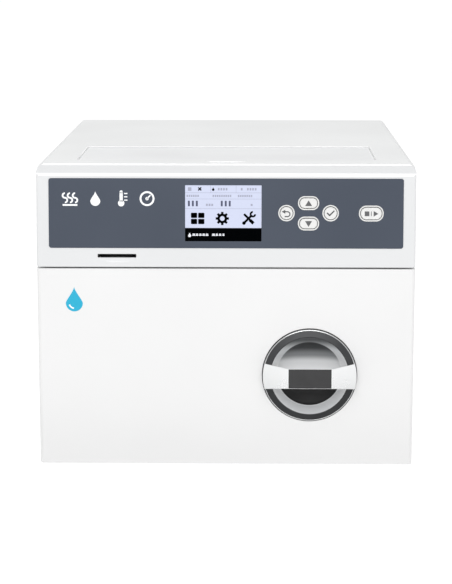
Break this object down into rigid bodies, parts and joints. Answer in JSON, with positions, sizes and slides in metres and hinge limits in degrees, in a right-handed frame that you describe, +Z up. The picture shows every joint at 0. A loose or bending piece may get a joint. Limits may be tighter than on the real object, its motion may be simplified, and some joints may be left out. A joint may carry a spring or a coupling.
{
  "type": "benchtop steam autoclave",
  "caption": "Benchtop steam autoclave with a side-hinged pressure door, a turn knob lock, an inclined key and display console and a hinged water tank lid.",
  "frame": {"origin": "on the floor, under the middle of the bounding box", "axes": "+Z up; the door and console face -Y; +X to the right of a person standing in front"},
  "size_m": [0.3458, 0.476, 0.286],
  "materials": {
    "powder_coat_white": "fine satin powder coat",
    "abs_white": "moulded, soft gloss",
    "key_white": "moulded, matt",
    "fascia_film": "printed polycarbonate film",
    "display_glass": "clear window over a lit display",
    "black_plastic": "moulded, matt",
    "dark_insert": "satin, moulded",
    "stainless": "brushed",
    "bright_zinc_sheet": "zinc plated sheet",
    "chrome_plate": "satin chrome",
    "knob_metallic": "metallic grey lacquer",
    "cast_aluminium": "cast, bead blasted",
    "brass_fitting": "turned",
    "copper_tube": "drawn tube",
    "silicone_seal": "moulded silicone",
    "foot_rubber": "moulded",
    "tank_plastic": "natural polypropylene",
    "cap_blue": "moulded",
    "circuit_board": "solder mask",
    "insulation_felt": "glass fibre felt",
    "rocker_red": "moulded, glossy"
  },
  "bodies": {
    "casing": {"base_chassis": "bright_zinc_sheet", "feet": "foot_rubber", "front_panel": "bright_zinc_sheet", "outer_cover": "powder_coat_white", "rear_panel": "powder_coat_white", "wall_spacers": "black_plastic", "console_shell": "abs_white", "fascia": "fascia_film", "display_window": "display_glass", "display_module": "black_plastic", "key_rings": "key_white", "key_board": "circuit_board", "card_reader": "black_plastic", "clean_water_tank": "tank_plastic", "used_water_tank": "tank_plastic", "tank_caps": "cap_blue", "chamber": "stainless", "chamber_heater": "brass_fitting", "insulation_jacket": "insulation_felt", "chamber_sensor": "stainless", "tray_rack": "stainless", "instrument_trays": "stainless", "steam_generator": "cast_aluminium", "water_pump": "black_plastic", "vacuum_pump": "cast_aluminium", "condenser": "copper_tube", "fan_frame": "black_plastic", "solenoid_valves": "brass_fitting", "pipework": "copper_tube", "air_filter": "tank_plastic", "safety_valve": "brass_fitting", "control_board": "circuit_board", "power_supply": "circuit_board", "mains_inlet": "black_plastic", "drain_couplings": "stainless", "case_screws": "bright_zinc_sheet", "hinge_bracket": "stainless", "hinge_pin": "stainless", "lock_strike": "stainless", "lock_solenoid": "black_plastic"},
    "door": {"door_cover": "abs_white", "door_liner": "bright_zinc_sheet", "pressure_door": "stainless", "door_gasket": "silicone_seal", "door_arm": "stainless", "door_fasteners": "bright_zinc_sheet"},
    "knob": {"knob_dish": "knob_metallic", "knob_bar": "chrome_plate", "knob_insert": "dark_insert", "lock_shaft": "stainless"},
    "lid": {"tank_lid": "abs_white"},
    "back_button": {"key_back": "key_white"},
    "up_button": {"key_up": "key_white"},
    "down_button": {"key_down": "key_white"},
    "ok_button": {"key_ok": "key_white"},
    "start_button": {"key_start": "key_white"},
    "fan": {"fan_rotor": "black_plastic"},
    "rocker": {"power_rocker": "rocker_red"},
    "valve_pull": {"safety_valve_ring": "stainless"},
    "lock_pin": {"lock_plunger": "stainless"}
  },
  "joints": [
    {"name": "door_swing", "type": "hinge", "parent": "casing", "child": "door", "pos_m": [-0.1635, -0.197, 0.098], "axis": [0, 0, -1], "range_deg": [0, 100]},
    {"name": "knob_turn", "type": "hinge", "parent": "door", "child": "knob", "pos_m": [0.077, -0.22, 0.093], "axis": [0, 1, 0], "range_deg": [0, 90]},
    {"name": "lid_open", "type": "hinge", "parent": "casing", "child": "lid", "pos_m": [0, -0.05825, 0.28355], "axis": [-1, 0, 0], "range_deg": [0, 95]},
    {"name": "back_press", "type": "slide", "parent": "casing", "child": "back_button", "axis": [0, 0.996, -0.0889], "range_m": [0, 0.0008], "stiffness_N_per_m": 1200},
    {"name": "up_press", "type": "slide", "parent": "casing", "child": "up_button", "axis": [0, 0.996, -0.0889], "range_m": [0, 0.0008], "stiffness_N_per_m": 1200},
    {"name": "down_press", "type": "slide", "parent": "casing", "child": "down_button", "axis": [0, 0.996, -0.0889], "range_m": [0, 0.0008], "stiffness_N_per_m": 1200},
    {"name": "ok_press", "type": "slide", "parent": "casing", "child": "ok_button", "axis": [0, 0.996, -0.0889], "range_m": [0, 0.0008], "stiffness_N_per_m": 1200},
    {"name": "start_press", "type": "slide", "parent": "casing", "child": "start_button", "axis": [0, 0.996, -0.0889], "range_m": [0, 0.0008], "stiffness_N_per_m": 1200},
    {"name": "fan_spin", "type": "hinge", "parent": "casing", "child": "fan", "pos_m": [0.095, 0.205, 0.215], "axis": [0, 1, 0], "continuous": true},
    {"name": "rocker_switch", "type": "hinge", "parent": "casing", "child": "rocker", "pos_m": [0.12, 0.216, 0.083], "axis": [-1, 0, 0], "range_deg": [0, 14]},
    {"name": "valve_pull_out", "type": "slide", "parent": "casing", "child": "valve_pull", "axis": [0, 1, 0], "range_m": [0, 0.003], "stiffness_N_per_m": 1500},
    {"name": "interlock_slide", "type": "slide", "parent": "casing", "child": "lock_pin", "axis": [0, -1, 0], "range_m": [0, 0.006], "stiffness_N_per_m": 300}
  ]
}
